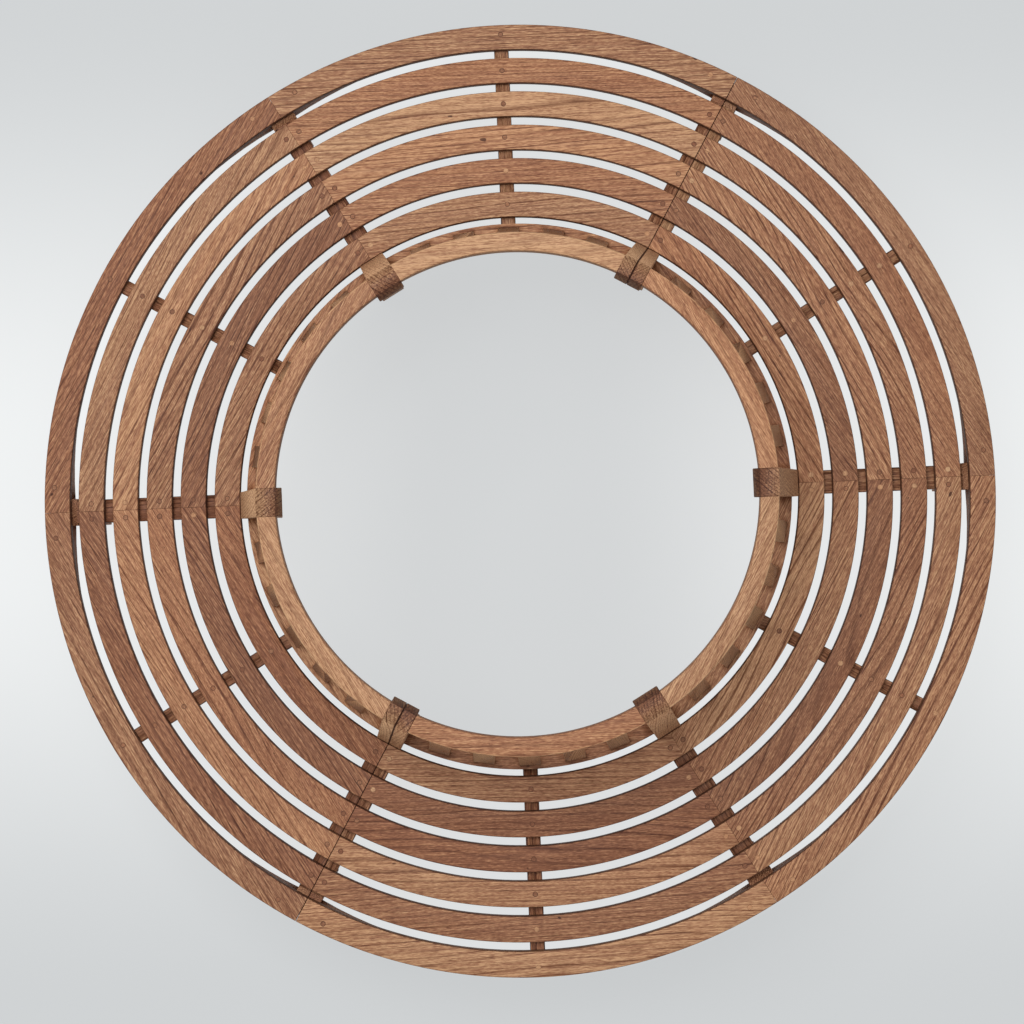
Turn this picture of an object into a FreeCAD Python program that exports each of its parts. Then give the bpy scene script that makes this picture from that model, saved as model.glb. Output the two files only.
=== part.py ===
import FreeCAD, Part
import math
import os

# Round tree bench of teak, in two half circles bolted together round a tree.
# Millimetres, +Z up. The origin is on the ground, on the axis of the tree.
# The seam between the halves lies along X, and every joint frame stands on a radius.

# Overall size
seat_outer_radius = 1073.0
seat_height = 440.0
back_height = 860.0

# How many of each
segments_per_half = 3
ring_count = 6
back_slats_per_segment = 5

# Curved seat slats, counted from the outside
slat_width = 58.0
slat_gap = 19.0
slat_thickness = 22.0
slat_rounding = 3.0
slat_butt_gap = 0.3
slat_seam_gap = 0.8

# Rear legs, each one piece with its raked back post, tapered below the rear rail
post_width = 60.0
post_depth = 60.0
post_foot_depth = 45.0
post_top_depth = 52.0
post_rake = 85.0
post_top_flat = 40.0
post_top_drop = 30.0
post_to_slat_gap = 1.0

# Front legs
leg_depth = 60.0

# Bearers under the slats
bearer_width = 53.0
mid_bearer_width = 33.0
bearer_height = 70.0

# Curved front aprons, thicker at the legs than in the middle
apron_setback = 10.0
apron_end_thickness = 45.0
apron_mid_thickness = 25.0
apron_height = 70.0

# Curved rear seat rails, which carry the back slats
rear_rail_gap = 15.4
rear_rail_width = 40.6
rear_rail_height = 80.0

# Curved top rails between the post heads
top_rail_width = 40.0
top_rail_height = 35.0
top_rail_rounding = 4.0

# Straight back slats, housed in the rear rail and the top rail
back_slat_width = 48.0
back_slat_thickness = 12.0
back_slat_foot_setback = 9.0
back_slat_head_setback = 14.0
housing_depth = 10.0

# Wood joints
eased_edge = 2.0
slat_easing = 1.2
fit_gap = 0.2
half_gap = 0.3
overcut = 1.0
tenon_thickness = 12.0
tenon_length = 18.0
bearer_tenon_length = 16.0
stub_tenon_length = 7.0
tenon_shoulder = 8.0

# Screws that hold the seat slats down, each under a wooden plug
plug_diameter = 12.0
plug_thickness = 6.0
plug_proud = 0.3
screw_hole_depth = 9.0
screw_head_diameter = 9.0
screw_head_height = 2.8
screw_diameter = 4.5
screw_length = 32.0
screw_tip = 3.0
end_screw_distance = 17.0
rim_screw_distance = 57.0

# Bolts that join the halves, two in each bearer pair and one in each leg pair
bolt_diameter = 8.0
bolt_hole_gap = 0.5
bolt_head_across = 13.0
bolt_head_height = 5.3
nut_height = 6.5
bolt_thread_end = 3.0
washer_diameter = 20.0
washer_thickness = 1.6
bolt_bearer_drop = 45.0
bolt_leg_height = 180.0
bolt_screw_offset = 12.0

# Values that follow from the sizes above
segment_count = 2 * segments_per_half
segment_angle = 360.0 / segment_count
slat_pitch = slat_width + slat_gap
slat_underside = seat_height - slat_thickness
innermost_slat_radius = seat_outer_radius - (ring_count - 1) * slat_pitch - slat_width
post_front = innermost_slat_radius - post_to_slat_gap
post_back = post_front - post_depth
post_foot_back = post_front - post_foot_depth
post_top_front = post_front - post_rake
post_top_back = post_top_front - post_top_depth
post_slope = post_rake / (back_height - seat_height)
leg_front = seat_outer_radius - apron_setback
leg_back = leg_front - leg_depth
rear_rail_outer = innermost_slat_radius - rear_rail_gap
rear_rail_inner = rear_rail_outer - rear_rail_width
rear_rail_bottom = seat_height - rear_rail_height
top_rail_bottom = back_height - top_rail_height
top_rail_inner = post_top_front - top_rail_width
bearer_bottom = slat_underside - bearer_height
apron_bottom = slat_underside - apron_height
apron_mid_inner = leg_front - apron_mid_thickness
half_width = post_width / 2

VERTICAL = FreeCAD.Vector(0, 0, 1)
RADIAL = FreeCAD.Vector(1, 0, 0)
ACROSS = FreeCAD.Vector(0, 1, 0)
CENTRE = FreeCAD.Vector(0, 0, 0)


def box(x_range, y_range, z_range):
    corner = FreeCAD.Vector(x_range[0], y_range[0], z_range[0])
    size = [high - low for low, high in (x_range, y_range, z_range)]
    return Part.makeBox(size[0], size[1], size[2], corner)


def turned(shape, angle):
    copy = shape.copy()
    copy.rotate(CENTRE, VERTICAL, angle)
    return copy


def cut_all(shape, tools):
    return shape.cut(Part.makeCompound(tools)) if tools else shape


def is_seam(joint):
    return joint % segments_per_half == 0


def eased(solid, along, radius):
    """Round the edges that don't lie across the given direction."""
    edges = []
    for edge in solid.Edges:
        run = edge.tangentAt(edge.FirstParameter)
        if abs(run.dot(along)) > 0.5:
            edges.append(edge)
    return solid.makeFillet(radius, edges)


def ring_bar(radii, heights, rounding, start, end):
    """A curved bar with rounded edges, swept about the tree's axis between two angles."""
    inner, outer = radii
    low, high = heights
    nook = rounding * (1 - math.sqrt(0.5))

    def at(x, z):
        return FreeCAD.Vector(x, 0, z)

    corners = [
        (at(inner, low + rounding), at(inner + nook, low + nook), at(inner + rounding, low)),
        (at(outer - rounding, low), at(outer - nook, low + nook), at(outer, low + rounding)),
        (at(outer, high - rounding), at(outer - nook, high - nook), at(outer - rounding, high)),
        (at(inner + rounding, high), at(inner + nook, high - nook), at(inner, high - rounding)),
    ]
    edges = []
    for index, (first, middle, last) in enumerate(corners):
        edges.append(Part.Arc(first, middle, last).toShape())
        edges.append(Part.LineSegment(last, corners[(index + 1) % 4][0]).toShape())
    section = Part.Face(Part.Wire(edges))
    section.rotate(CENTRE, VERTICAL, start)
    return section.revolve(CENTRE, VERTICAL, end - start)


def slab(outline, y_range):
    """A flat outline of radius and height points, thickened across the radius."""
    points = [FreeCAD.Vector(x, y_range[0], z) for x, z in outline]
    face = Part.Face(Part.makePolygon(points + points[:1]))
    return face.extrude(FreeCAD.Vector(0, y_range[1] - y_range[0], 0))


def across_tenon(middle, heights, grow=0.0):
    """The pair of tenons that enter a post or leg from both sides, in its own frame."""
    reach = half_width - tenon_length - grow
    x_range = (middle - tenon_thickness / 2 - grow, middle + tenon_thickness / 2 + grow)
    z_range = (heights[0] + tenon_shoulder - grow, heights[1] - tenon_shoulder + grow)
    left = box(x_range, (reach, half_width + tenon_length), z_range)
    right = box(x_range, (-half_width - tenon_length, -reach), z_range)
    return left, right


def between_posts(bar, segment, middle, heights):
    """Trim a curved bar against the frames at its two ends and give it its tenons."""
    start = segment * segment_angle
    end = start + segment_angle
    reach = seat_outer_radius * 2
    for angle in (start, end):
        keep_out = box((0, reach), (-half_width, half_width), (0, back_height * 2))
        bar = bar.cut(turned(keep_out, angle))
    left, right = across_tenon(middle, heights)
    return bar.fuse(turned(left, start)).fuse(turned(right, end)).removeSplitter()


def screw_spots():
    """Radius and angle of each seat screw, with the ring and segment that it holds."""
    spots = []
    for ring in range(1, ring_count + 1):
        for segment in range(1, segment_count + 1):
            start = (segment - 1) * segment_angle
            middle = start + segment_angle / 2
            if ring == 1:
                radius = leg_front - apron_mid_thickness / 2
                distance = rim_screw_distance
            else:
                radius = seat_outer_radius - (ring - 1) * slat_pitch - slat_width / 2
                distance = end_screw_distance
            swing = math.degrees(math.asin(distance / radius))
            for angle in (start + swing, middle, start + segment_angle - swing):
                spots.append((ring, segment, radius, angle))
    return spots


def upright(radius, height, spot, bottom):
    """A round bar on the vertical through a screw."""
    place = FreeCAD.Vector(spot[2], 0, bottom)
    return turned(Part.makeCylinder(radius, height, place), spot[3])


def screw_hole(spot):
    bore_bottom = seat_height - screw_hole_depth
    bore = upright(plug_diameter / 2, screw_hole_depth + overcut, spot, bore_bottom)
    shank_length = slat_thickness + 2 * overcut
    shank = upright(screw_diameter / 2 + fit_gap, shank_length, spot, slat_underside - overcut)
    return bore.fuse(shank)


def pilot_hole(spot):
    bottom = seat_height - screw_hole_depth - screw_length - fit_gap
    length = slat_underside + overcut - bottom
    return upright(screw_diameter / 2 + fit_gap / 2, length, spot, bottom)


def seat_slat(ring, segment):
    outer = seat_outer_radius - (ring - 1) * slat_pitch
    inner = outer - slat_width
    start = (segment - 1) * segment_angle
    angles = []
    for joint, sign in ((segment - 1, 1), (segment, -1)):
        gap = slat_seam_gap if is_seam(joint) else slat_butt_gap
        angles.append(joint * segment_angle + sign * math.degrees(gap / 2 / outer))
    bar = ring_bar((inner, outer), (slat_underside, seat_height), slat_rounding, angles[0], angles[1])
    holes = [screw_hole(spot) for spot in screw_spots() if spot[:2] == (ring, segment)]
    return cut_all(bar, holes)


def screw():
    head_radius = screw_head_diameter / 2
    top = seat_height - screw_hole_depth + screw_head_height
    seat = seat_height - screw_hole_depth
    tip = seat - screw_length
    outline = [
        (0, tip), (screw_diameter / 2, tip + screw_tip), (screw_diameter / 2, seat),
        (head_radius, seat), (head_radius, top - screw_head_height / 2),
        (screw_diameter / 2, top), (0, top),
    ]
    points = [FreeCAD.Vector(x, 0, z) for x, z in outline]
    face = Part.Face(Part.makePolygon(points + points[:1]))
    return face.revolve(CENTRE, VERTICAL, 360)


def plug():
    top = seat_height + plug_proud
    radius = plug_diameter / 2 - fit_gap / 2
    body = Part.makeCylinder(radius, plug_thickness, FreeCAD.Vector(0, 0, top - plug_thickness))
    rim = [edge for edge in body.Edges if edge.BoundBox.ZMin > top - plug_proud / 2]
    return body.makeFillet(plug_proud, rim)


def at_spots(shape):
    """One copy of a screw or plug at every screw place."""
    copies = []
    for spot in screw_spots():
        copy = shape.copy()
        copy.translate(FreeCAD.Vector(spot[2], 0, 0))
        copies.append(turned(copy, spot[3]))
    return Part.makeCompound(copies)


def bolt_places():
    """Radius and height of the bolts through one seam, in the seam's own frame."""
    bearer_z = slat_underside - bolt_bearer_drop
    outer_slat = seat_outer_radius - slat_pitch - slat_width / 2
    inner_slat = innermost_slat_radius + slat_pitch + slat_width / 2
    return [
        (outer_slat - bolt_screw_offset, bearer_z), (inner_slat + bolt_screw_offset, bearer_z),
        ((leg_front + leg_back) / 2, bolt_leg_height), ((post_front + post_back) / 2, bolt_leg_height),
    ]


def across(radius, height, place, y_start):
    """A round bar across the seam, centred on a bolt."""
    base = FreeCAD.Vector(place[0], y_start, place[1])
    return Part.makeCylinder(radius, height, base, ACROSS)


def hexagon(across_flats, height, place, y_start):
    corner_radius = across_flats / math.sqrt(3)
    points = []
    for corner in range(6):
        turn = math.radians(60 * corner)
        x = place[0] + corner_radius * math.cos(turn)
        z = place[1] + corner_radius * math.sin(turn)
        points.append(FreeCAD.Vector(x, y_start, z))
    face = Part.Face(Part.makePolygon(points + points[:1]))
    return face.extrude(FreeCAD.Vector(0, height, 0))


def bolt_holes():
    length = post_width * 2
    radius = bolt_diameter / 2 + bolt_hole_gap
    return [across(radius, length, place, -length / 2) for place in bolt_places()]


def bolt(place):
    head_start = -half_width - washer_thickness - bolt_head_height
    head = hexagon(bolt_head_across, bolt_head_height, place, head_start)
    shank_start = head_start + bolt_head_height
    grip = post_width + 2 * washer_thickness
    shank = across(bolt_diameter / 2, grip + nut_height + bolt_thread_end, place, shank_start)
    return head.fuse(shank).removeSplitter()


def washers(place):
    pair = []
    for y_start in (-half_width - washer_thickness, half_width):
        disc = across(washer_diameter / 2, washer_thickness, place, y_start)
        hole = across(bolt_diameter / 2 + fit_gap, washer_thickness, place, y_start)
        pair.append(disc.cut(hole))
    return pair


def nut(place):
    start = half_width + washer_thickness
    body = hexagon(bolt_head_across, nut_height, place, start)
    return body.cut(across(bolt_diameter / 2 + fit_gap, nut_height, place, start))


def at_seams(pieces):
    """Copies of what joins one seam, at both seams."""
    copies = []
    for joint in (0, segments_per_half):
        copies.extend(turned(piece, joint * segment_angle) for piece in pieces)
    return Part.makeCompound(copies)


def post(y_range):
    """A rear leg and raked back post in one piece, with the mortises for its rails."""
    neck = back_height - post_top_drop
    bend = neck - (post_back - post_top_back) / post_slope
    outline = [
        (post_front, 0), (post_front, seat_height), (post_top_front, back_height),
        (post_top_front - post_top_flat, back_height), (post_top_back, neck),
        (post_back, bend), (post_back, rear_rail_bottom), (post_foot_back, 0),
    ]
    body = slab(outline, y_range)
    edges = [edge for edge in body.Edges if abs(edge.tangentAt(edge.FirstParameter).y) < 0.5]
    body = body.makeFillet(eased_edge, edges)
    rear_rail_middle = rear_rail_outer - rear_rail_width / 2
    top_rail_middle = post_top_front - top_rail_width / 2
    mortises = list(across_tenon(rear_rail_middle, (rear_rail_bottom, seat_height), fit_gap))
    mortises += across_tenon(top_rail_middle, (top_rail_bottom, back_height), fit_gap)
    mortises.append(bearer_tenon(post_front - bearer_tenon_length, post_front, y_range, fit_gap))
    return body.cut(Part.makeCompound(mortises))


def front_leg(y_range):
    body = eased(box((leg_back, leg_front), y_range, (0, slat_underside)), VERTICAL, eased_edge)
    apron_middle = leg_front - apron_end_thickness / 2
    mortises = list(across_tenon(apron_middle, (apron_bottom, slat_underside), fit_gap))
    mortises.append(bearer_tenon(leg_back, leg_back + bearer_tenon_length, y_range, fit_gap))
    return body.cut(Part.makeCompound(mortises))


def bearer_tenon(x_start, x_end, y_range, grow=0.0):
    middle = (y_range[0] + y_range[1]) / 2
    half = tenon_thickness / 2 + grow
    z_range = (bearer_bottom + tenon_shoulder - grow, slat_underside - tenon_shoulder + grow)
    return box((x_start - grow, x_end + grow), (middle - half, middle + half), z_range)


def joint_bearer(y_range, tenon_range):
    """The bearer of a joint frame, tenoned into the rear leg and the front leg."""
    body = box((post_front, leg_back), y_range, (bearer_bottom, slat_underside))
    body = eased(body, RADIAL, eased_edge)
    ends = (post_front - bearer_tenon_length, leg_back + bearer_tenon_length)
    return body.fuse(bearer_tenon(ends[0], ends[1], tenon_range)).removeSplitter()


def mid_bearer_tenon(grow=0.0):
    half = tenon_thickness / 2 + grow
    x_range = (rear_rail_outer - stub_tenon_length - grow, apron_mid_inner + stub_tenon_length + grow)
    low = max(bearer_bottom, rear_rail_bottom) + tenon_shoulder
    return box(x_range, (-half, half), (low - grow, slat_underside - tenon_shoulder + grow))


def mid_bearer():
    """The bearer halfway along a segment, from the rear rail to the front apron."""
    half = mid_bearer_width / 2
    x_range = (rear_rail_outer + fit_gap / 2, apron_mid_inner - fit_gap / 2 - curve_rise(half))
    body = box(x_range, (-half, half), (bearer_bottom, slat_underside))
    return eased(body, RADIAL, eased_edge).fuse(mid_bearer_tenon()).removeSplitter()


def curve_rise(half):
    """How far the apron's hollow face comes in over half the mid bearer's width."""
    return apron_mid_inner - math.sqrt(apron_mid_inner ** 2 - half ** 2)


def front_apron(segment):
    """A curved apron whose hollow face thickens it towards the legs."""
    half_turn = math.radians(segment_angle / 2)
    end_inner = leg_front - apron_end_thickness

    def at(radius, turn):
        return FreeCAD.Vector(radius * math.cos(turn), radius * math.sin(turn), apron_bottom)

    outer = Part.Arc(at(leg_front, -half_turn), at(leg_front, 0), at(leg_front, half_turn))
    inner = Part.Arc(at(end_inner, half_turn), at(apron_mid_inner, 0), at(end_inner, -half_turn))
    sides = [
        Part.LineSegment(at(leg_front, half_turn), at(end_inner, half_turn)),
        Part.LineSegment(at(end_inner, -half_turn), at(leg_front, -half_turn)),
    ]
    wire = Part.Wire([outer.toShape(), sides[0].toShape(), inner.toShape(), sides[1].toShape()])
    body = Part.Face(wire).extrude(FreeCAD.Vector(0, 0, apron_height))
    curved = [edge for edge in body.Edges if isinstance(edge.Curve, Part.Circle)]
    body = body.makeFillet(eased_edge, curved)
    body = turned(body, (segment + 0.5) * segment_angle)
    middle = leg_front - apron_end_thickness / 2
    body = between_posts(body, segment, middle, (apron_bottom, slat_underside))
    return body.cut(turned(mid_bearer_tenon(fit_gap), (segment + 0.5) * segment_angle))


def back_slat(grow=0.0):
    """One straight slat, leaning from the rear rail up into the top rail."""
    foot = rear_rail_outer - back_slat_foot_setback
    head = post_top_front - back_slat_head_setback
    slope = (foot - head) / (top_rail_bottom - seat_height)
    across_lean = back_slat_thickness * math.sqrt(1 + slope ** 2)
    low = seat_height - housing_depth - grow
    high = top_rail_bottom + housing_depth + grow
    foot_x = foot - slope * (low - seat_height)
    head_x = foot - slope * (high - seat_height)
    outline = [
        (foot_x + grow, low), (head_x + grow, high),
        (head_x - across_lean - grow, high), (foot_x - across_lean - grow, low),
    ]
    half = back_slat_width / 2 + grow
    body = slab(outline, (-half, half))
    return body if grow else eased(body, VERTICAL, slat_easing)


def back_slat_angles(segment):
    """Slat angles that leave equal gaps between the posts and the slats."""
    radius = rear_rail_outer - back_slat_foot_setback
    post_half = math.degrees(math.asin(half_width / radius))
    slat_angle = math.degrees(back_slat_width / radius)
    free = segment_angle - 2 * post_half - back_slats_per_segment * slat_angle
    gap = free / (back_slats_per_segment + 1)
    start = segment * segment_angle + post_half
    return [start + gap + slat_angle / 2 + index * (gap + slat_angle)
            for index in range(back_slats_per_segment)]


def rear_rail(segment):
    bar = ring_bar((rear_rail_inner, rear_rail_outer), (rear_rail_bottom, seat_height), eased_edge,
                   segment * segment_angle, (segment + 1) * segment_angle)
    middle = rear_rail_outer - rear_rail_width / 2
    bar = between_posts(bar, segment, middle, (rear_rail_bottom, seat_height))
    pockets = [turned(back_slat(fit_gap), angle) for angle in back_slat_angles(segment)]
    pockets.append(turned(mid_bearer_tenon(fit_gap), (segment + 0.5) * segment_angle))
    return cut_all(bar, pockets)


def top_rail(segment):
    bar = ring_bar((top_rail_inner, post_top_front), (top_rail_bottom, back_height), top_rail_rounding,
                   segment * segment_angle, (segment + 1) * segment_angle)
    middle = post_top_front - top_rail_width / 2
    bar = between_posts(bar, segment, middle, (top_rail_bottom, back_height))
    return cut_all(bar, [turned(back_slat(fit_gap), angle) for angle in back_slat_angles(segment)])


def pilots_near(angle, reach):
    """Pilot holes of the screws that stand within some degrees of an angle."""
    near = []
    for spot in screw_spots():
        offset = (spot[3] - angle + 180) % 360 - 180
        if abs(offset) < reach:
            near.append(pilot_hole(spot))
    return near


def with_pilots(body, angle):
    """A bearer turned to its place, with the screws' pilot holes."""
    return cut_all(turned(body, angle), pilots_near(angle, segment_angle / 4))


def at_joints(piece):
    """Copies of a piece at the joints that aren't seams."""
    joints = [joint for joint in range(segment_count) if not is_seam(joint)]
    return Part.makeCompound([turned(piece, joint * segment_angle) for joint in joints])


def solids_only(shape):
    found = shape.Solids
    return found[0] if len(found) == 1 else Part.makeCompound(found)


def write(name, shape):
    shape = solids_only(shape)
    volume = sum(solid.Volume for solid in shape.Solids)
    print(name, len(shape.Solids), "solids", round(volume / 1000), "cm3", shape.isValid())
    shape.exportStep(os.path.join("parts", name + ".step"))


os.makedirs("parts", exist_ok=True)
whole = (-half_width, half_width)
near_half = (half_gap / 2, half_width)
far_half = (-half_width, -half_gap / 2)
bearer_half = (-bearer_width / 2, bearer_width / 2)

for ring in range(1, ring_count + 1):
    for segment in range(1, segment_count + 1):
        write(f"seat_slat_ring{ring}_segment{segment}", seat_slat(ring, segment))

for segment in range(segment_count):
    write(f"top_rail_segment{segment + 1}", top_rail(segment))

for half, side in enumerate(("left", "right")):
    first = half * segments_per_half
    segments = range(first, first + segments_per_half)
    slats = [turned(back_slat(), angle) for segment in segments for angle in back_slat_angles(segment)]
    write(f"back_slats_{side}_half", Part.makeCompound(slats))
    write(f"rear_rails_{side}_half", Part.makeCompound([rear_rail(segment) for segment in segments]))
    aprons = []
    for segment in segments:
        middle = (segment + 0.5) * segment_angle
        aprons.append(cut_all(front_apron(segment), pilots_near(middle, segment_angle / 2)))
    write(f"front_aprons_{side}_half", Part.makeCompound(aprons))

write("rear_posts", at_joints(post(whole)))
write("front_legs", at_joints(front_leg(whole)))
seam_posts = [cut_all(post(span), bolt_holes()) for span in (near_half, far_half)]
write("rear_posts_at_seam", at_seams(seam_posts))
seam_legs = [cut_all(front_leg(span), bolt_holes()) for span in (near_half, far_half)]
write("front_legs_at_seam", at_seams(seam_legs))

bearers = []
seam_bearers = []
for joint in range(segment_count):
    angle = joint * segment_angle
    if is_seam(joint):
        for span in (near_half, far_half):
            body = cut_all(joint_bearer(span, span), bolt_holes())
            seam_bearers.append(with_pilots(body, angle))
    else:
        bearers.append(with_pilots(joint_bearer(bearer_half, whole), angle))
write("joint_bearers", Part.makeCompound(bearers))
write("joint_bearers_at_seam", Part.makeCompound(seam_bearers))

middles = [(segment + 0.5) * segment_angle for segment in range(segment_count)]
write("mid_bearers", Part.makeCompound([with_pilots(mid_bearer(), angle) for angle in middles]))

write("seat_screws", at_spots(screw()))
write("seat_plugs", at_spots(plug()))
write("seam_bolts", at_seams([bolt(place) for place in bolt_places()]))
write("seam_washers", at_seams([washer for place in bolt_places() for washer in washers(place)]))
write("seam_nuts", at_seams([nut(place) for place in bolt_places()]))
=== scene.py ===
import bpy
import math
import random
from mathutils import Matrix, Vector


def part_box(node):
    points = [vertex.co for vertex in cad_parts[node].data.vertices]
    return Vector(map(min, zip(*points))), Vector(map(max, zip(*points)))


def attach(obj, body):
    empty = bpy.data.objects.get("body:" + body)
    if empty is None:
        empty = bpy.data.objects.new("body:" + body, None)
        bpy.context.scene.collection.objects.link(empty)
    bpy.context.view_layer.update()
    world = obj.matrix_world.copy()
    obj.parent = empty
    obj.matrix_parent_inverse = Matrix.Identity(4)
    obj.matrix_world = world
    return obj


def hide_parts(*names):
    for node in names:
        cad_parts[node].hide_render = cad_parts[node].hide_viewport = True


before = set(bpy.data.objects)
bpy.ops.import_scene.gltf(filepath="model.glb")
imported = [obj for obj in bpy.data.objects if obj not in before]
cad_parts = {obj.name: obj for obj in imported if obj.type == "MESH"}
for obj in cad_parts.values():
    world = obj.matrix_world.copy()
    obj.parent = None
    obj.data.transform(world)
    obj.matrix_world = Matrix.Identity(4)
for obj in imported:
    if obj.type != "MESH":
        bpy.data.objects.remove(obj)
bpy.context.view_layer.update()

# Studio. The bench stands on a pale floor under one large soft light from the upper left of the
# picture and a dim even sky. The floor carries painted light: it is lighter towards the sides of the
# picture, and lighter under the seat where the bench's shadow falls. The camera looks down the
# bench's own axis, a little off centre.
scene = bpy.context.scene
scene.view_settings.view_transform = "Standard"
seat_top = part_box("seat_slat_ring1_segment1")[1].z
picture_turn = math.radians(62.36)
camera_right = 0.047
camera_up = -0.048
camera_height = 5.219
camera_pitch = math.radians(4.093)
camera_roll = math.radians(0.693)
picture_right = Vector((math.cos(picture_turn), -math.sin(picture_turn), 0))
picture_up = Vector((math.sin(picture_turn), math.cos(picture_turn), 0))

camera_data = bpy.data.cameras.new("camera")
camera_data.sensor_width = 36
camera_data.lens = 81.22
camera_data.shift_y = -0.158
camera = bpy.data.objects.new("camera", camera_data)
scene.collection.objects.link(camera)
aside = camera_right * picture_right + camera_up * picture_up
camera.location = aside + Vector((0, 0, seat_top + camera_height))
camera.rotation_mode = "YXZ"
camera.rotation_euler = (camera_pitch, camera_roll, -picture_turn)
scene.camera = camera


def soft_light(name, right, up, height, size, power):
    """A square soft light at a place in the picture's own directions, turned to the bench."""
    light = bpy.data.lights.new(name, "AREA")
    light.size = size
    light.energy = power
    lamp = bpy.data.objects.new(name, light)
    lamp.location = right * picture_right + up * picture_up + Vector((0, 0, height))
    aim = Vector((0, 0, seat_top)) - lamp.location
    lamp.rotation_euler = aim.to_track_quat("-Z", "Y").to_euler()
    lamp.visible_camera = False
    scene.collection.objects.link(lamp)


soft_light("key_light", right=-1.4, up=1.4, height=6.2, size=2.8, power=205)
soft_light("overhead_light", right=0.3, up=0.5, height=6.6, size=2.4, power=60)


def add_node(tree, kind, *values, **settings):
    """Adds a shader node, sets its options, and fills or links its sockets in order."""
    node = tree.nodes.new("ShaderNode" + kind)
    for setting, value in settings.items():
        setattr(node, setting, value)
    for socket, value in zip(node.inputs, values):
        if isinstance(value, bpy.types.NodeSocket):
            tree.links.new(value, socket)
        elif value is not None:
            socket.default_value = value
    return node


def seen_directly(tree):
    """1 for rays that show a surface to the camera or in a reflection, 0 for rays that light."""
    path = add_node(tree, "LightPath")
    seen = add_node(tree, "Math", path.outputs["Is Camera Ray"], path.outputs["Is Glossy Ray"],
                    operation="MAXIMUM").outputs[0]
    return add_node(tree, "Math", seen, path.outputs["Is Transmission Ray"],
                    operation="MAXIMUM").outputs[0]


backdrop_grey = (0.64, 0.66, 0.67, 1)
painted_side_light = (0.88, 0.90, 0.905, 1)
painted_floor_light = (0.93, 0.945, 0.95, 1)
sky_light = 0.42
floor_glow = 0.84
floor_size = 60
hole_rim = (0.60, 0.665)
seat_rim = (1.10, 1.165)
painted_light_in_hole = 0.12
painted_light_under_seat = 0.6

world = bpy.data.worlds.new("sky")
world.use_nodes = True
scene.world = world
tree = world.node_tree
tree.nodes.clear()
lighting = add_node(tree, "Background", (1, 1, 1, 1), sky_light)
backdrop = add_node(tree, "Background", backdrop_grey, 1.0)
sky = add_node(tree, "MixShader", seen_directly(tree), lighting.outputs[0], backdrop.outputs[0])
add_node(tree, "OutputWorld", sky.outputs[0])

floor_material = bpy.data.materials.new("floor_paper")
floor_material.use_nodes = True
tree = floor_material.node_tree
tree.nodes.clear()
place = add_node(tree, "TexCoord").outputs["Object"]


def picture_distance(direction, start, end, low, high):
    """Blends from low to high between two distances from the middle, along one picture direction."""
    along = add_node(tree, "VectorMath", place, direction, operation="DOT_PRODUCT").outputs["Value"]
    away = add_node(tree, "Math", along, operation="ABSOLUTE").outputs[0]
    return add_node(tree, "MapRange", away, start, end, low, high,
                    interpolation_type="SMOOTHSTEP").outputs[0]


# The floor is painted lighter towards the left and right of the picture: a painted pool of light, as
# if the backdrop were lit from both sides.
beside = picture_distance(picture_right, start=0.15, end=0.95, low=0.0, high=1.0)
level_with = picture_distance(picture_up, start=0.1, end=1.25, low=1.0, high=0.0)
far_off = picture_distance(picture_right, start=1.7, end=4.0, low=1.0, high=0.0)
painted_side_light_mask = add_node(tree, "Math", beside, level_with, operation="MULTIPLY").outputs[0]
painted_side_light_mask = add_node(tree, "Math", painted_side_light_mask, far_off, operation="MULTIPLY").outputs[0]
colour = add_node(tree, "MixRGB", painted_side_light_mask, backdrop_grey, painted_side_light).outputs[0]
# Under the seat, and less inside the hole, the floor is painted lighter still: painted light that
# offsets the shadow the bench casts on it.
from_axis = add_node(tree, "VectorMath", place, operation="LENGTH").outputs["Value"]
outside = add_node(tree, "MapRange", from_axis, *seat_rim, painted_light_under_seat, 0.0).outputs[0]
painted_light_lift = add_node(tree, "MapRange", from_axis, *hole_rim, painted_light_in_hole, outside).outputs[0]
colour = add_node(tree, "MixRGB", painted_light_lift, colour, painted_floor_light).outputs[0]
paper = add_node(tree, "BsdfDiffuse", colour)
glowing = add_node(tree, "Emission", colour, 1.0)
share = add_node(tree, "Math", seen_directly(tree), floor_glow, operation="MULTIPLY").outputs[0]
surface = add_node(tree, "MixShader", share, paper.outputs[0], glowing.outputs[0])
add_node(tree, "OutputMaterial", surface.outputs[0])

bpy.ops.object.select_all(action="DESELECT")
bpy.ops.mesh.primitive_plane_add(size=floor_size)
floor = bpy.context.object
floor.name = "floor"
floor.data.materials.append(floor_material)

# Seat slats. Six rings of six boards, sawn to a curve from straight teak, so that the grain runs
# along each board's chord and slants across it near the joints. Their edges are eased, and they
# butt together over the frames, where screws under wooden plugs hold them down. Their inner edges
# are painted dark: painted shade.
rng = random.Random(7)
ring_count = 6
segment_count = 6
segment_degrees = 60
slat_rounding = 0.003
smooth_angle = 35
end_arris = 0.0008
tight_arris = 0.0004
seam_reach = 0.01
facets_per_board = 40
plug_hole_radius = 0.006
plug_hole_depth = 0.009
slat_screw_distance = 0.017
rim_screw_distance = 0.057
rim_screw_inset = 0.0225
# How dark the seam ends (dirt) and the inner edges (painted shade) are made, then the tight joints
# (dirt):
seam_dirt_and_inner_shade = 0.8
joint_dirt = 0.25
yaw_limit = 2.2
pitch_limit = 0.9
pith_depths = (0.10, 0.20)
log_length = (5, 50)
tone_spread = 0.06
bold_figures = (1.3, 1.6)
plain_figures = (0.8, 1.2)
board_scales = (0.75, 1.25)

wood_tones = {
    "umber": 0.0, "chestnut": 0.17, "russet": 0.34, "fawn": 0.5,
    "tan": 0.67, "honey": 0.84, "pale": 1.0,
}
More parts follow.
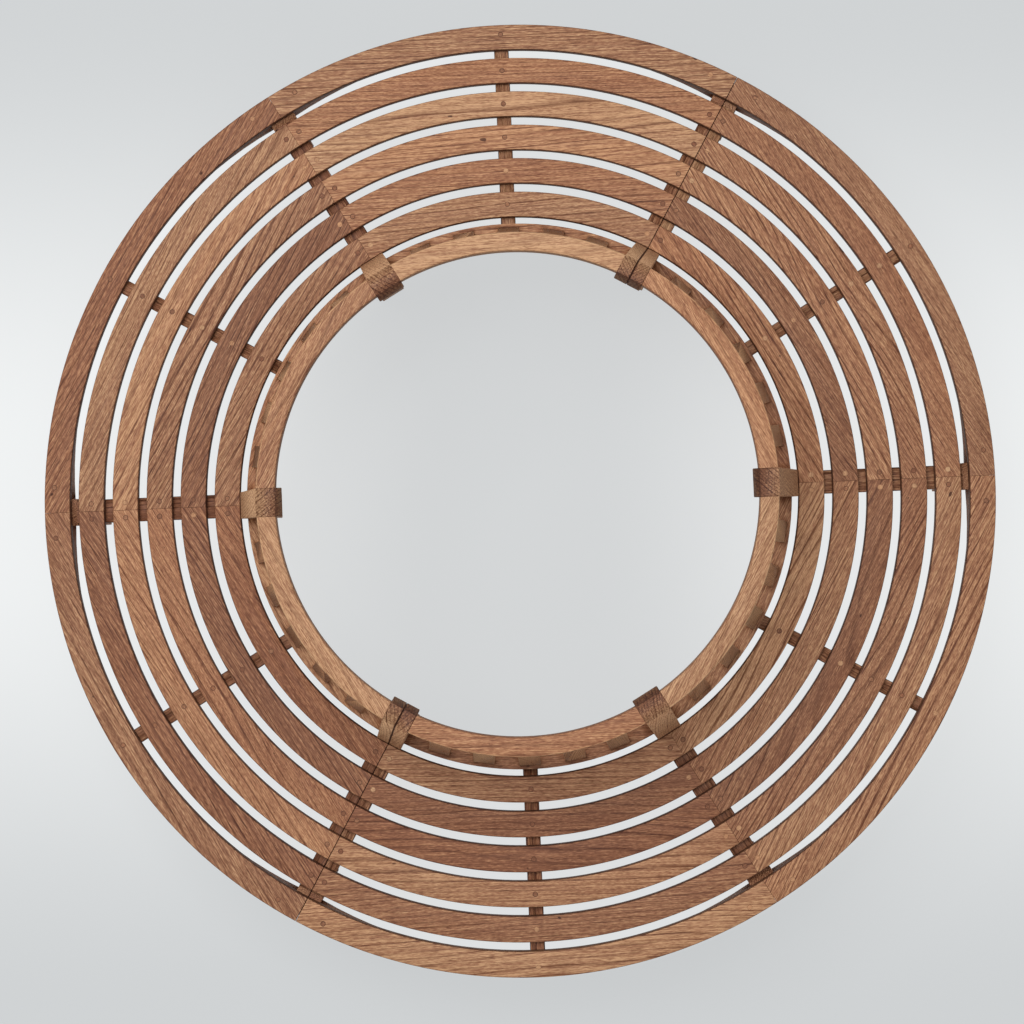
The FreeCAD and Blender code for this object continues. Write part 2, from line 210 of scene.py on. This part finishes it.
# Some boards in the inner rings are set a tone lighter: painted light that offsets the shadow the back
# casts on them.
seat_tones = {
    "honey": [(3, 1)],
    "tan": [(1, 4), (3, 2), (3, 3), (3, 4), (4, 1), (6, 5)],
    "fawn": [(1, 1), (1, 5), (2, 1), (2, 2), (2, 5), (3, 6), (4, 3), (4, 6), (5, 1), (5, 5), (6, 1),
             (6, 4), (6, 6)],
    "chestnut": [(2, 3), (4, 4), (4, 5), (5, 2), (5, 3), (5, 4), (5, 6)],
}
bold_grain = [(1, 5), (3, 5), (3, 6), (4, 2), (6, 5)]

ring_spacing = 0.0040
wood_noise = {
    "sway": ((2.0, 4.5, 4.5), 1.0),
    "quiver": ((8, 26, 26), 1.0),
    "season": ((0.31, 1, 1), 0.0),
    "breaks": ((11, 460, 460), 2.0),
    "drift": ((1.4, 9, 9), 2.0),
    "streak": ((2.6, 150, 150), 2.0),
    "thread": ((6, 560, 560), 2.0),
    "mottle": ((90, 640, 640), 2.0),
    "fibre": ((24, 1100, 1100), 2.0),
    "flush": ((1.1, 7, 7), 1.0),
    "dashes": ((20, 480, 480), 1.0),
    "pores": ((70, 1400, 1400), 1.0),
    "flecks": ((60, 150, 560), 3.0),
    "knots": ((45, 70, 70), 0.0),
}
wood_ramps = {
    "late_rise": (0.62, 0.86, 0.0, 1.0),
    "late_fall": (1.0, 0.94, 0.0, 1.0),
    "vigour": (0.0, 0.9, 0.3, 1.0),
    "breaks": (-0.2, 0.18, 0.25, 1.3),
    "flush": (0.1, 1.1, 0.0, 1.0),
    "dashes": (0.05, 0.16, 0.0, 0.7),
    "pores": (0.08, 0.17, 0.0, 1.0),
    "early_wood": (0.6, 0.0, 0.4, 1.0),
    "flecks": (-0.02, 0.16, 0.0, 0.6),
    "sawn_end": (0.55, 0.9, 0.0, 1.0),
    "knots": (0.365, 0.395, 0.0, 1.0),
    "roughness": (-0.3, 0.3, 0.56, 0.72),
}
tone_strengths = {"drift": 0.36, "streak": 0.12, "thread": 1.5, "mottle": 1.9, "fibre": 0.5}
wood_shades = [
    (0.0, (0.205, 0.083, 0.042, 1)), (0.25, (0.290, 0.127, 0.065, 1)),
    (0.5, (0.382, 0.190, 0.099, 1)), (0.75, (0.480, 0.264, 0.141, 1)),
    (1.0, (0.590, 0.350, 0.190, 1)),
]
wood_tints = {
    "flush": (1.0, 0.88, 0.82, 1), "late_wood": (0.34, 0.22, 0.16, 1),
    "dashes": (0.52, 0.42, 0.35, 1), "pores": (0.42, 0.32, 0.26, 1),
    "flecks": (0.40, 0.31, 0.26, 1), "knots": (0.25, 0.18, 0.15, 1),
    "grime_and_shade": (0.20, 0.14, 0.11, 1),
}
sway_reach = 0.022
quiver_reach = 0.002
sway_through = 0.6
season_strength = 1.6
year_strength = 0.12
sawn_end_figure = 0.9
line_depth = 0.35
fibre_height = 0.5


def teak(name):
    """Bare teak: growth rings about a distant pith, fibres and pores, along the board's own grain."""
    material = bpy.data.materials.new(name)
    material.use_nodes = True
    tree = material.node_tree
    tree.nodes.clear()

    def maths(operation, *values):
        return add_node(tree, "Math", *values, operation=operation).outputs[0]

    def vectors(operation, *values):
        return add_node(tree, "VectorMath", *values, operation=operation).outputs["Vector"]

    def noise(kind, place):
        """Noise from -0.5 to 0.5, with the stretch along and across the grain of its kind."""
        stretch, detail = wood_noise[kind]
        along = vectors("MULTIPLY", place, stretch)
        found = add_node(tree, "TexNoise", along, None, 1.0, detail)
        return maths("SUBTRACT", found.outputs[0], 0.5)

    def ramp(kind, value):
        return add_node(tree, "MapRange", value, *wood_ramps[kind]).outputs[0]

    def darken(colour, amount, kind):
        tint = wood_tints[kind]
        return add_node(tree, "MixRGB", amount, colour, tint, blend_type="MULTIPLY").outputs[0]

    grain = add_node(tree, "Attribute", attribute_name="grain").outputs["Vector"]
    board = add_node(tree, "Attribute", attribute_name="board").outputs["Vector"]
    sawn_end = add_node(tree, "Attribute", attribute_name="end_grain").outputs["Fac"]
    board = add_node(tree, "SeparateXYZ", board)
    tone, redness, figure = board.outputs[0], board.outputs[1], board.outputs[2]

    sway = maths("MULTIPLY", noise("sway", grain), sway_reach)
    quiver = maths("MULTIPLY", noise("quiver", grain), quiver_reach)
    spread = maths("ADD", sway, quiver)
    through = maths("MULTIPLY", spread, sway_through)
    moved = add_node(tree, "CombineXYZ", 0.0, spread, through).outputs[0]
    across = vectors("MULTIPLY", vectors("ADD", grain, moved), (0, 1, 1))
    from_pith = add_node(tree, "VectorMath", across, operation="LENGTH").outputs["Value"]
    growth = maths("DIVIDE", from_pith, ring_spacing)
    season = noise("season", add_node(tree, "CombineXYZ", growth, 0.0, 0.0).outputs[0])
    growth = maths("ADD", growth, maths("MULTIPLY", season, season_strength))
    year = maths("FLOOR", growth)
    within = maths("FRACT", growth)
    vigour = add_node(tree, "TexWhiteNoise", None, year, noise_dimensions="1D").outputs["Value"]
    late = maths("MULTIPLY", ramp("late_rise", within), ramp("late_fall", within))
    broken = ramp("breaks", noise("breaks", grain))
    line = maths("MULTIPLY", maths("MULTIPLY", late, ramp("vigour", vigour)), broken)

    layers = {kind: noise(kind, grain) for kind in tone_strengths}
    level = maths("ADD", tone, maths("MULTIPLY", maths("SUBTRACT", vigour, 0.5), year_strength))
    for kind, strength in tone_strengths.items():
        level = maths("ADD", level, maths("MULTIPLY", layers[kind], strength))
    shades = add_node(tree, "ValToRGB", level)
    while len(shades.color_ramp.elements) < len(wood_shades):
        shades.color_ramp.elements.new(0.5)
    for element, (position, shade) in zip(shades.color_ramp.elements, wood_shades):
        element.position = position
        element.color = shade
    colour = shades.outputs[0]
    flush = ramp("flush", maths("ADD", redness, noise("flush", grain)))
    colour = darken(colour, flush, "flush")
    figure = maths("ADD", figure, maths("MULTIPLY", sawn_end, sawn_end_figure))
    colour = darken(colour, maths("MULTIPLY", line, figure), "late_wood")

    colour = darken(colour, ramp("dashes", noise("dashes", grain)), "dashes")
    pores = maths("MULTIPLY", ramp("pores", noise("pores", grain)), ramp("early_wood", within))
    colour = darken(colour, pores, "pores")
    flecks = maths("MULTIPLY", ramp("sawn_end", sawn_end), ramp("flecks", noise("flecks", grain)))
    colour = darken(colour, flecks, "flecks")
    colour = darken(colour, ramp("knots", noise("knots", grain)), "knots")
    # This darkening is dirt in most places, and painted shade on the seat slats' inner edges.
    grime_and_shade = add_node(tree, "Attribute", attribute_name="grime_and_shade").outputs["Fac"]
    colour = darken(colour, grime_and_shade, "grime_and_shade")

    sunk = maths("ADD", pores, maths("MULTIPLY", line, line_depth))
    height = maths("SUBTRACT", maths("MULTIPLY", layers["fibre"], fibre_height), sunk)
    bump = add_node(tree, "Bump")
    bump.inputs["Strength"].default_value = 0.35
    bump.inputs["Distance"].default_value = 0.0004
    tree.links.new(height, bump.inputs["Height"])
    wood = add_node(tree, "BsdfPrincipled")
    wood.inputs["Specular IOR Level"].default_value = 0.3
    tree.links.new(colour, wood.inputs["Base Color"])
    tree.links.new(ramp("roughness", layers["streak"]), wood.inputs["Roughness"])
    tree.links.new(bump.outputs[0], wood.inputs["Normal"])
    add_node(tree, "OutputMaterial", wood.outputs[0])
    return material


def polar(point):
    return math.hypot(point.x, point.y), math.atan2(point.y, point.x)


def swing(angle, middle):
    """How far an angle lies from a middle one, the short way round."""
    return (angle - middle + math.pi) % (2 * math.pi) - math.pi


def centroid(mesh):
    return sum((vertex.co for vertex in mesh.vertices), Vector()) / len(mesh.vertices)


def bearing(mesh):
    """The angle about the tree's axis at which the middle of a board stands."""
    return polar(centroid(mesh))[1]


def lay_grain(piece, run, tone, figure=0.6, cut=(45, 78), scale=1.0, soiled=None, worn=None,
              reddest=0.9):
    """Gives a board its own timber: grain direction, place in the log, tone, figure, grime, stains,
    and painted shade and highlights.
    """
    mesh = piece.data
    middle = bearing(mesh)
    outward = Vector((math.cos(middle), math.sin(middle), 0))
    sideways = Vector((-math.sin(middle), math.cos(middle), 0))
    upward = Vector((0, 0, 1))
    axes = {
        "chord": (sideways, outward, upward),
        "radius": (outward, sideways, upward),
        "upright": (upward, sideways, outward),
    }[run]
    yaw = math.radians(rng.uniform(-yaw_limit, yaw_limit))
    pitch = math.radians(rng.uniform(-pitch_limit, pitch_limit))
    along = (axes[0] + math.tan(yaw) * axes[1] + math.tan(pitch) * axes[2]).normalized()
    across = (axes[1] - along * axes[1].dot(along)).normalized()
    through = along.cross(across)
    pith = math.radians(rng.uniform(*cut)) * rng.choice((-1, 1))
    depth = rng.uniform(*pith_depths)
    centre = outward * polar(centroid(mesh))[0]
    start = Vector((rng.uniform(*log_length), depth * math.sin(pith), depth * math.cos(pith)))
    level = wood_tones[tone] + rng.uniform(-tone_spread, tone_spread)
    redness = rng.uniform(0.0, reddest)
    grain = mesh.attributes.new("grain", "FLOAT_VECTOR", "POINT")
    for vertex in mesh.vertices:
        offset = vertex.co - centre
        local = Vector((offset.dot(along), offset.dot(across), offset.dot(through)))
        grain.data[vertex.index].vector = start + local * scale
    board = mesh.attributes.new("board", "FLOAT_VECTOR", "POINT")
    for vertex in mesh.vertices:
        paler = worn(vertex.co) if worn else 0.0
        board.data[vertex.index].vector = (level + paler, redness, figure)
    sawn = mesh.attributes.new("end_grain", "FLOAT", "FACE")
    for face in mesh.polygons:
        sawn.data[face.index].value = abs(face.normal.dot(along))
    grime_and_shade = mesh.attributes.new("grime_and_shade", "FLOAT", "FACE")
    if soiled:
        for face in mesh.polygons:
            here = Vector((face.center.x, face.center.y, 0)).normalized()
            grime_and_shade.data[face.index].value = soiled(face.normal.dot(here), face.normal.z, face.center)


def edge_dirt_and_inner_shade(outward, up, spot):
    """Inner edges are painted dark as painted shade; the ends at the seam are dark with dirt, and
    outer edges and tight joints a little.
    """
    if abs(up) > 0.8:
        return 0.0
    tight_joint = abs(outward) < 0.5 and abs(spot.y) > seam_reach
    return joint_dirt if outward > 0.5 or tight_joint else seam_dirt_and_inner_shade


def span(node):
    """The radii, heights, starting angle and turn that a curved node fills."""
    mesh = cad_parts[node].data
    middle = bearing(mesh)
    points = [vertex.co for vertex in mesh.vertices]
    radii = [polar(point)[0] for point in points]
    reach = [swing(polar(point)[1], middle) for point in points]
    heights = [point.z for point in points]
    start = middle + min(reach)
    return min(radii), max(radii), min(heights), max(heights), start, max(reach) - min(reach)


def only(piece):
    """Leaves one object selected and active."""
    bpy.ops.object.select_all(action="DESELECT")
    piece.select_set(True)
    bpy.context.view_layer.objects.active = piece


def pick(piece, kind, wanted):
    """Selects the edges or faces of a mesh that a test on them picks out, and opens edit mode."""
    only(piece)
    bpy.ops.object.mode_set(mode="EDIT")
    bpy.ops.mesh.select_mode(type=kind)
    bpy.ops.mesh.select_all(action="DESELECT")
    bpy.ops.object.mode_set(mode="OBJECT")
    mesh = piece.data
    for part in mesh.edges if kind == "EDGE" else mesh.polygons:
        part.select = wanted(part)
    bpy.ops.object.mode_set(mode="EDIT")


def curved_bar(name, inner, outer, low, high, start, turn, rounding):
    """A bar of rounded section, swung about the tree's axis from its starting angle."""
    middle = (inner + outer) / 2
    bpy.ops.object.select_all(action="DESELECT")
    place = (middle * math.cos(start), middle * math.sin(start), (low + high) / 2)
    bpy.ops.mesh.primitive_plane_add(size=1, location=place, rotation=(math.pi / 2, 0, start))
    bar = bpy.context.object
    bar.name = name
    bar.scale = (outer - inner, high - low, 1)
    bpy.ops.object.transform_apply(location=True, rotation=True, scale=True)
    bpy.ops.object.mode_set(mode="EDIT")
    bpy.ops.mesh.select_all(action="SELECT")
    bpy.ops.mesh.bevel(offset=rounding, segments=3, affect="VERTICES")
    bpy.ops.mesh.spin(steps=facets_per_board, angle=-turn, center=(0, 0, 0), axis=(0, 0, 1))
    bpy.ops.mesh.select_all(action="SELECT")
    bpy.ops.mesh.normals_make_consistent(inside=False)
    bpy.ops.object.mode_set(mode="OBJECT")
    return bar


def ease_ends(bar):
    """Takes the sharp arris off the two sawn ends of a curved bar, more at the seam."""
    for at_seam, arris in ((True, end_arris), (False, tight_arris)):
        ends = [face for face in bar.data.polygons
                if len(face.vertices) > 4 and (abs(face.center.y) < seam_reach) == at_seam]
        if ends:
            rims = {key for face in ends for key in face.edge_keys}
            pick(bar, "EDGE", lambda edge: edge.key in rims)
            bpy.ops.mesh.bevel(offset=arris, segments=1, affect="EDGES")
            bpy.ops.object.mode_set(mode="OBJECT")


def drill(bar, places, radius, depth):
    """Bores flat-bottomed holes down into the top of a board."""
    top = max(vertex.co.z for vertex in bar.data.vertices)
    cutters = []
    for distance, angle in places:
        spot = (distance * math.cos(angle), distance * math.sin(angle), top)
        bpy.ops.object.select_all(action="DESELECT")
        bpy.ops.mesh.primitive_cylinder_add(vertices=24, radius=radius, depth=2 * depth, location=spot)
        cutters.append(bpy.context.object)
    for cutter in cutters:
        cutter.select_set(True)
    bpy.context.view_layer.objects.active = cutters[0]
    bpy.ops.object.join()
    cutter = bpy.context.object
    bpy.ops.object.transform_apply(location=True, rotation=True, scale=True)
    only(bar)
    holes = bar.modifiers.new("plug_holes", "BOOLEAN")
    holes.object = cutter
    holes.solver = "EXACT"
    bpy.ops.object.modifier_apply(modifier=holes.name)
    bpy.data.objects.remove(cutter)


def finish(piece, material, nodes):
    """Shades a piece, gives it its timber and slot, and lets it stand for its nodes."""
    only(piece)
    bpy.ops.object.shade_smooth_by_angle(angle=math.radians(smooth_angle))
    piece.data.materials.clear()
    piece.data.materials.append(material)
    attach(piece, "root")
    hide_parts(*nodes)


def screw_places(ring, segment):
    """Distance from the axis and angle of the three screws in one seat slat."""
    inner, outer = slat_spans[ring, segment][:2]
    if ring == 1:
        distance, inset = outer - rim_screw_inset, rim_screw_distance
    else:
        distance, inset = (outer + inner) / 2, slat_screw_distance
    start = math.radians(segment_degrees * (segment - 1))
    end = math.radians(segment_degrees * segment)
    reach = math.asin(inset / distance)
    return [(distance, angle) for angle in (start + reach, (start + end) / 2, end - reach)]


seat_teak = teak("seat_teak")
tone_of = {place: tone for tone, places in seat_tones.items() for place in places}
slat_spans = {}
for ring in range(1, ring_count + 1):
    for segment in range(1, segment_count + 1):
        node = f"seat_slat_ring{ring}_segment{segment}"
        slat_spans[ring, segment] = span(node)
        name = f"slat_ring{ring}_segment{segment}"
        slat = curved_bar(name, *slat_spans[ring, segment], slat_rounding)
        ease_ends(slat)
        drill(slat, screw_places(ring, segment), plug_hole_radius, plug_hole_depth)
        bold = (ring, segment) in bold_grain
        figure = rng.uniform(*(bold_figures if bold else plain_figures))
        lay_grain(slat, "chord", tone_of.get((ring, segment), "russet"), figure,
                  scale=rng.uniform(*board_scales), soiled=edge_dirt_and_inner_shade)
        finish(slat, seat_teak, [node])

# Plugs. Cross-cut buttons of the same teak, glued over the screws and planed almost flush. Each was
# cut from another offcut, so some are paler and some darker than the board round them.
plug_radius = 0.0059
plug_arris = 0.0003
glue_line = 0.0012
plug_sides = 24
plug_figure = 0.4
plug_scale = 2.5
plug_looks = (("russet", 0.7), ("chestnut", 0.6), ("umber", 0.5), ("honey", 0.3), ("pale", 0.2))
plug_low, plug_top = (corner.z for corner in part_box("seat_plugs"))
plug_teak = teak("plug_teak")
bpy.ops.object.select_all(action="DESELECT")
bpy.ops.mesh.primitive_cylinder_add(vertices=plug_sides, radius=plug_radius,
                                    depth=plug_top - plug_low,
                                    location=(0, 0, (plug_top + plug_low) / 2))
first_plug = bpy.context.object
bpy.ops.object.transform_apply(location=True, rotation=True, scale=True)
pick(first_plug, "FACE", lambda face: face.normal.z > 0.9)
bpy.ops.mesh.bevel(offset=plug_arris, segments=1, affect="EDGES")
bpy.ops.object.mode_set(mode="OBJECT")
pick(first_plug, "FACE", lambda face: face.normal.z > 0.9)
bpy.ops.mesh.inset(thickness=glue_line)
bpy.ops.object.mode_set(mode="OBJECT")
plug_rim = [abs(face.normal.z) < 0.9 or len(face.vertices) == 4 for face in first_plug.data.polygons]
plugs = []
for ring, segment in slat_spans:
    for distance, angle in screw_places(ring, segment):
        plug = bpy.data.objects.new("plug", first_plug.data.copy())
        scene.collection.objects.link(plug)
        spot = (distance * math.cos(angle), distance * math.sin(angle), 0)
        plug.data.transform(Matrix.Translation(spot))
        tone, dirt = rng.choice(plug_looks)
        lay_grain(plug, "chord", tone, plug_figure, cut=(0, 90), scale=plug_scale)
        plug.data.attributes["grime_and_shade"].data.foreach_set("value", [dirt * rim for rim in plug_rim])
        plugs.append(plug)
bpy.data.objects.remove(first_plug)


def join(name, boards):
    """Makes one object of several boards that share a node."""
    bpy.ops.object.select_all(action="DESELECT")
    for board in boards:
        board.select_set(True)
    bpy.context.view_layer.objects.active = boards[0]
    bpy.ops.object.join()
    boards[0].name = name
    return boards[0]


finish(join("plugs", plugs), plug_teak, ["seat_plugs"])

# Top rails. Six curved boards, well rounded along their edges, that run between the post heads and
# are tenoned into them. They are sawn from the palest boards, with the grain along the chord. Their
# outer edge is painted lighter, a painted highlight, and their upright faces a little darker.
top_rail_rounding = 0.004
post_half_width = 0.030
rail_figures = (0.5, 0.8)
rail_side_darkness = 0.25
rail_edge_highlight = 0.4
edge_margin = 0.0005
top_rail_tones = ("honey", "fawn", "tan", "fawn", "tan", "tan")
back_teak = teak("back_teak")


def rail_side_darkening(outward, up, spot):
    """The upright faces are painted a little darker than the top."""
    return rail_side_darkness if abs(up) < 0.5 else 0.0


for segment, tone in enumerate(top_rail_tones):
    node = f"top_rail_segment{segment + 1}"
    inner, outer, low, high = span(node)[:4]
    rail = curved_bar(f"top_rail_{segment + 1}", inner, outer, low, high,
                      math.radians(segment_degrees * segment), math.radians(segment_degrees),
                      top_rail_rounding)
    for side, joint in ((1, segment), (-1, segment + 1)):
        angle = math.radians(segment_degrees * joint)
        sideways = Vector((-math.sin(angle), math.cos(angle), 0)) * side
        pick(rail, "FACE", lambda face: True)
        bpy.ops.mesh.bisect(plane_co=sideways * post_half_width, plane_no=sideways,
                            use_fill=True, clear_inner=True)
        bpy.ops.object.mode_set(mode="OBJECT")
    # The outer rounded edge is painted lighter: a painted highlight.
    edge = outer - top_rail_rounding + edge_margin
    lay_grain(rail, "chord", tone, rng.uniform(*rail_figures), soiled=rail_side_darkening,
              worn=lambda spot: rail_edge_highlight if polar(spot)[0] > edge else 0.0)
    finish(rail, back_teak, [node])

# Back slats. Thirty straight slats, let into the rear rails below and the top rails above, so that
# they lean inward. They are planed on all sides, with the grain running up them. They are given the
# palest tones: painted light on faces that the lamps only graze.
painted_light_slat_tones = ("pale", "pale", "honey")
frame_figures = (0.6, 1.0)
frame_scales = (0.8, 1.2)
merge_distance = 1e-6


def boards_of(node):
    """The separate boards of a node, copied, with the corners of their faces merged."""
    copy = bpy.data.objects.new(node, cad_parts[node].data.copy())
    scene.collection.objects.link(copy)
    only(copy)
    bpy.ops.object.mode_set(mode="EDIT")
    bpy.ops.mesh.select_all(action="SELECT")
    bpy.ops.mesh.remove_doubles(threshold=merge_distance)
    bpy.ops.mesh.separate(type="LOOSE")
    bpy.ops.object.mode_set(mode="OBJECT")
    return sorted(bpy.context.selected_objects, key=lambda board: round(bearing(board.data), 3))


def dress_boards(node, run, tones, material, slot_name, shaped=None, bold=0.0,
                 coarse=1.0, **timber):
    """Gives each board of a node timber of its own, in the shape and joints that the frame has.

    A list of tones holds one for each board, in order of their angle, and a tuple is drawn from.
    """
    boards = boards_of(node)
    for index, board in enumerate(boards):
        if shaped:
            shaped(board)
        figure = rng.uniform(*frame_figures) + bold
        scale = rng.uniform(*frame_scales) / coarse
        tone = tones[index] if isinstance(tones, list) else rng.choice(tones)
        lay_grain(board, run, tone, figure, scale=scale, **timber)
    finish(join(node + "_boards", boards), material, [node])


for node in ("back_slats_left_half", "back_slats_right_half"):
    dress_boards(node, "upright", painted_light_slat_tones, back_teak, "back_teak")

# Rear rails. Six curved rails under the inner edge of the seat, tenoned between the posts, with
# housings for the back slats. They lie in shade, and their timber is plain; the right half is also
# given dark tones, painted shade.
frame_teak = teak("frame_teak")
dress_boards("rear_rails_left_half", "chord", ("fawn", "tan"), frame_teak, "frame_teak")
dress_boards("rear_rails_right_half", "chord", ("russet", "chestnut"), frame_teak, "frame_teak")

# Posts. Each rear leg and its raked back post are sawn from one piece, split in two at the seam
# between the halves. The head's sawn top shows end grain, and the slope behind it is weathered.
post_tones = ("honey", "tan", "pale")
seam_post_tones = ("pale", "pale", "honey")
frame_arris = 0.0012
long_edge = 0.05
post_coarseness = 1.6
post_redness = 0.5
groove_width = 0.0025
groove_dirt = 1.0
head_dirt = 0.3
slope_dirt = 0.8
head_low = 0.85
head_inner_end = 0.51
soaked_tone = -0.8


def ease(board, wanted):
    """Takes the arris off the long sharp edges of a board whose two ends pass a test."""
    corners = [vertex.co.copy() for vertex in board.data.vertices]
    normals = {}
    for face in board.data.polygons:
        for key in face.edge_keys:
            normals.setdefault(key, []).append(face.normal.copy())

    def is_long_arris(edge):
        first, last = (corners[index] for index in edge.vertices)
        if (last - first).length < long_edge or not (wanted(first) and wanted(last)):
            return False
        return abs(normals[edge.key][0].dot(normals[edge.key][-1])) < 0.5

    pick(board, "EDGE", is_long_arris)
    bpy.ops.mesh.bevel(offset=frame_arris, segments=1, affect="EDGES")
    bpy.ops.object.mode_set(mode="OBJECT")


def ease_seam(board):
    """Eases the edges of the face that meets the other half of the bench."""
    ease(board, lambda end: abs(end.y) < seam_reach)


def seam_grime(outward, up, spot):
    """Dirt lies in the groove where the two halves of the bench meet."""
    return groove_dirt if abs(spot.y) < groove_width else 0.0


def head_grime(outward, up, spot):
    """The head is weathered, and the slope behind it more."""
    if seam_grime(outward, up, spot):
        return groove_dirt
    if up > 0.9:
        return head_dirt
    return slope_dirt if outward < -0.3 and up > 0.1 else 0.0


def soaked_end(spot):
    """The head grows darker towards its inner end, where rain has stood on it."""
    return soaked_tone if spot.z > head_low and polar(spot)[0] < head_inner_end else 0.0


dress_boards("rear_posts", "upright", post_tones, frame_teak, "frame_teak", coarse=post_coarseness,
             soiled=head_grime, worn=soaked_end, reddest=post_redness)
dress_boards("rear_posts_at_seam", "upright", seam_post_tones, frame_teak, "frame_teak",
             shaped=ease_seam, coarse=post_coarseness, soiled=head_grime, worn=soaked_end,
             reddest=post_redness)

# Front legs and aprons. Square legs stand just inside the seat's rim and are split at the seam.
# Curved aprons are tenoned between them, with a hollow inner face that thickens them at the legs.
under_seat_tones = ("russet", "fawn")
dress_boards("front_legs", "upright", under_seat_tones, frame_teak, "frame_teak")
dress_boards("front_legs_at_seam", "upright", under_seat_tones, frame_teak, "frame_teak",
             shaped=ease_seam, soiled=seam_grime)
for node in ("front_aprons_left_half", "front_aprons_right_half"):
    dress_boards(node, "chord", under_seat_tones, frame_teak, "frame_teak")

# Bearers. Straight cross rails from the posts to the front legs at each joint, doubled at the seam,
# and one more halfway along each segment. They carry the slats, and most are dark boards.
bearer_tones = {
    "joint_bearers": ["umber", "russet", "umber", "umber"],
    "joint_bearers_at_seam": ["russet", "tan", "chestnut", "umber"],
    "mid_bearers": ["chestnut", "russet", "russet", "fawn", "russet", "chestnut"],
}
bearer_figure = 0.3


def arris_grime(outward, up, spot):
    """Dirt lies on the eased edges of a bearer, and so in the groove where two meet at the seam."""
    return groove_dirt if 0.4 < up < 0.9 else 0.0


for node, tones in bearer_tones.items():
    dress_boards(node, "radius", tones, frame_teak, "frame_teak", bold=bearer_figure,
                 soiled=arris_grime)

# Steel. The screws under the plugs, and the bolts, washers and nuts that draw the two halves
# together, are stainless, with fine turning marks. They stay as the frame has them.
turning_marks = (900, 4000, 900)
dull_steel = (0.50, 0.50, 0.49, 1)
bright_steel = (0.64, 0.64, 0.63, 1)
steel = bpy.data.materials.new("stainless_steel")
steel.use_nodes = True
tree = steel.node_tree
tree.nodes.clear()
place = add_node(tree, "TexCoord").outputs["Object"]
fine = add_node(tree, "VectorMath", place, turning_marks, operation="MULTIPLY").outputs[0]
marks = add_node(tree, "TexNoise", fine, None, 1.0, 2.0).outputs[0]
roughness = add_node(tree, "MapRange", marks, 0.3, 0.7, 0.28, 0.46).outputs[0]
shade = add_node(tree, "MixRGB", marks, dull_steel, bright_steel).outputs[0]
metal = add_node(tree, "BsdfPrincipled")
metal.inputs["Metallic"].default_value = 1.0
tree.links.new(shade, metal.inputs["Base Color"])
tree.links.new(roughness, metal.inputs["Roughness"])
add_node(tree, "OutputMaterial", metal.outputs[0])
for node in ("seat_screws", "seam_bolts", "seam_washers", "seam_nuts"):
    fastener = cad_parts[node]
    fastener.data.materials.clear()
    fastener.data.materials.append(steel)
